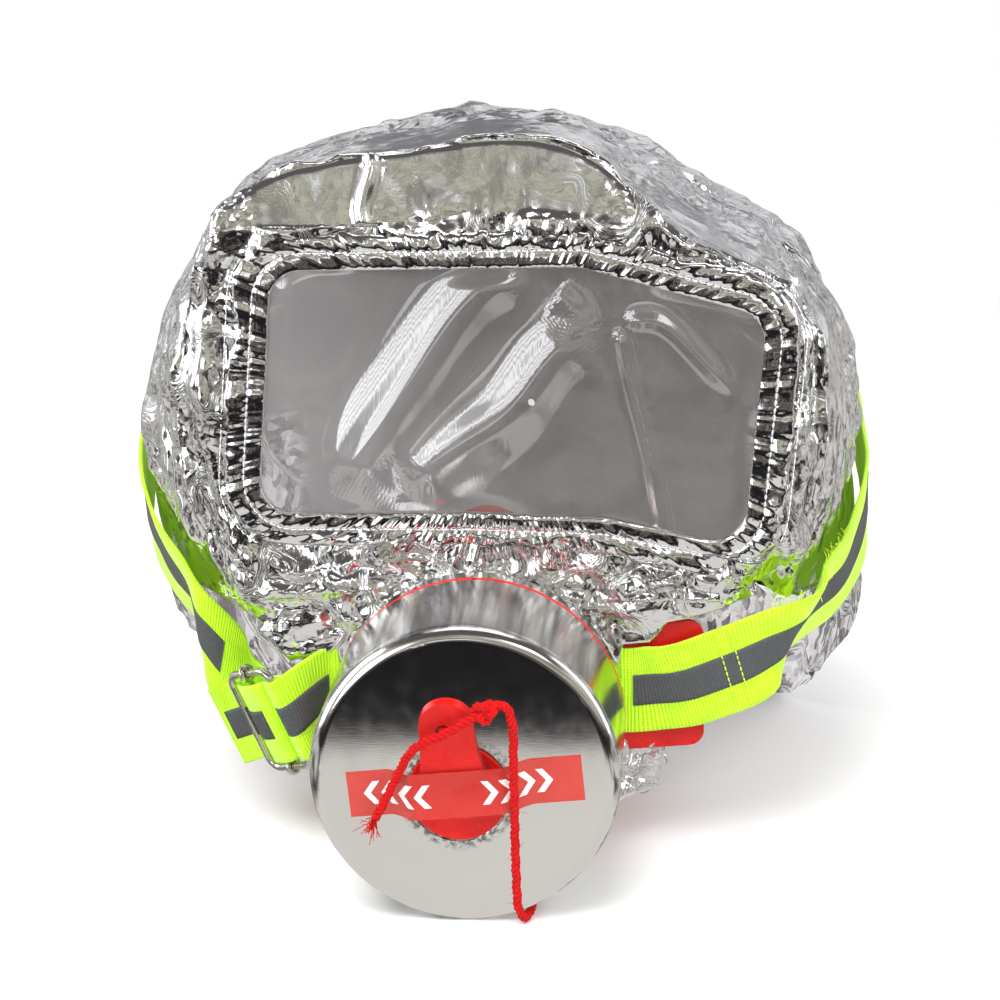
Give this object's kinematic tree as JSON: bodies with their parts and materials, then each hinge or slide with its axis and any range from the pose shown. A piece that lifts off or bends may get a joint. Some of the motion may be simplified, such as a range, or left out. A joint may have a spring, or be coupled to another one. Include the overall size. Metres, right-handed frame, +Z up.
{
  "type": "escape smoke hood",
  "caption": "Escape smoke hood: metallised-foil hood with clear visor, steel filter canister with pull-out red plug, red half mask inside and high-visibility head strap.",
  "frame": {"origin": "middle of the neck opening, in the plane the hood stands on", "axes": "+Z up through the crown, -Y out of the canister's inlet at the front, +X to the right of someone facing the canister"},
  "size_m": [0.2915, 0.3014, 0.2708],
  "materials": {
    "canister_steel": "drawn stainless steel: mirror-bright face with fine scratches, satin wall brushed along the axis",
    "seal_red": "glossy red sealing band",
    "screen_steel": "plain stainless sheet",
    "felt": "white needle felt",
    "filter_paper": "pleated fibre-glass filter paper",
    "catalyst": "dark brown carbon-monoxide catalyst granules",
    "carbon": "black impregnated carbon granules",
    "red_rubber": "smooth semi-gloss red rubber",
    "red_cord": "twisted red polyester cord",
    "label_film": "translucent red self-adhesive film with plain white arrows",
    "valve_plastic": "moulded black nylon",
    "valve_rubber": "thin soft rubber",
    "mask_silicone": "satin red silicone rubber",
    "foil": "bright aluminised foil, crinkled, pale grey backing",
    "elastic": "white flat elastic",
    "visor_film": "clear flexible polyester film, slightly rippled",
    "webbing": "fluorescent yellow-green ribbed webbing",
    "reflector": "dark grey retroreflective tape",
    "nickel_wire": "nickel-plated wire"
  },
  "bodies": {
    "hood": {"canister_front_shell": "canister_steel", "canister_rear_shell": "canister_steel", "seam_ring": "seal_red", "inlet_screen": "screen_steel", "dust_felt": "felt", "pleated_filter": "filter_paper", "separator_felt": "felt", "catalyst_bed": "catalyst", "middle_felt": "felt", "carbon_bed": "carbon", "rear_felt": "felt", "bed_retainer_plate": "screen_steel", "bed_spring": "screen_steel", "inhale_valve_seat": "valve_plastic", "exhale_valve_seat": "valve_plastic", "exhale_valve_cage": "valve_plastic", "half_mask": "mask_silicone", "mask_clamp_band": "screen_steel", "hood_gasket": "valve_rubber", "hood_front_panel": "foil", "hood_crown_panel": "foil", "hood_rear_panel": "foil", "hood_left_panel": "foil", "hood_right_panel": "foil", "neck_hem": "foil", "neck_elastic": "elastic", "visor_binding": "foil", "visor": "visor_film", "head_strap": "webbing", "head_strap_reflector": "reflector", "strap_tail_reflector": "reflector", "tab_strap": "webbing", "tab_reflector": "reflector", "buckle_frame": "nickel_wire"},
    "inlet_plug": {"front_plug": "red_rubber", "pull_cord": "red_cord", "seal_label": "label_film"},
    "outlet_plug": {"rear_plug": "red_rubber"},
    "inhale_flap": {"inhale_valve_disc": "valve_rubber"},
    "exhale_flap": {"exhale_valve_disc": "valve_rubber"},
    "slide_bar": {"buckle_bar": "nickel_wire"}
  },
  "joints": [
    {"name": "inlet_plug_pull", "type": "slide", "parent": "hood", "child": "inlet_plug", "axis": [0, -1, 0], "range_m": [0, 0.06]},
    {"name": "outlet_plug_pull", "type": "slide", "parent": "hood", "child": "outlet_plug", "axis": [0, 1, 0], "range_m": [0, 0.05]},
    {"name": "inhale_flap_lift", "type": "slide", "parent": "hood", "child": "inhale_flap", "axis": [0, 1, 0], "range_m": [0, 0.0015]},
    {"name": "exhale_flap_lift", "type": "slide", "parent": "hood", "child": "exhale_flap", "axis": [0, 0, -1], "range_m": [0, 0.002], "stiffness_N_per_m": 20},
    {"name": "slide_bar_travel", "type": "slide", "parent": "hood", "child": "slide_bar", "axis": [-0.7017, 0.6433, -0.3063], "range_m": [-0.0055, 0.004]}
  ]
}
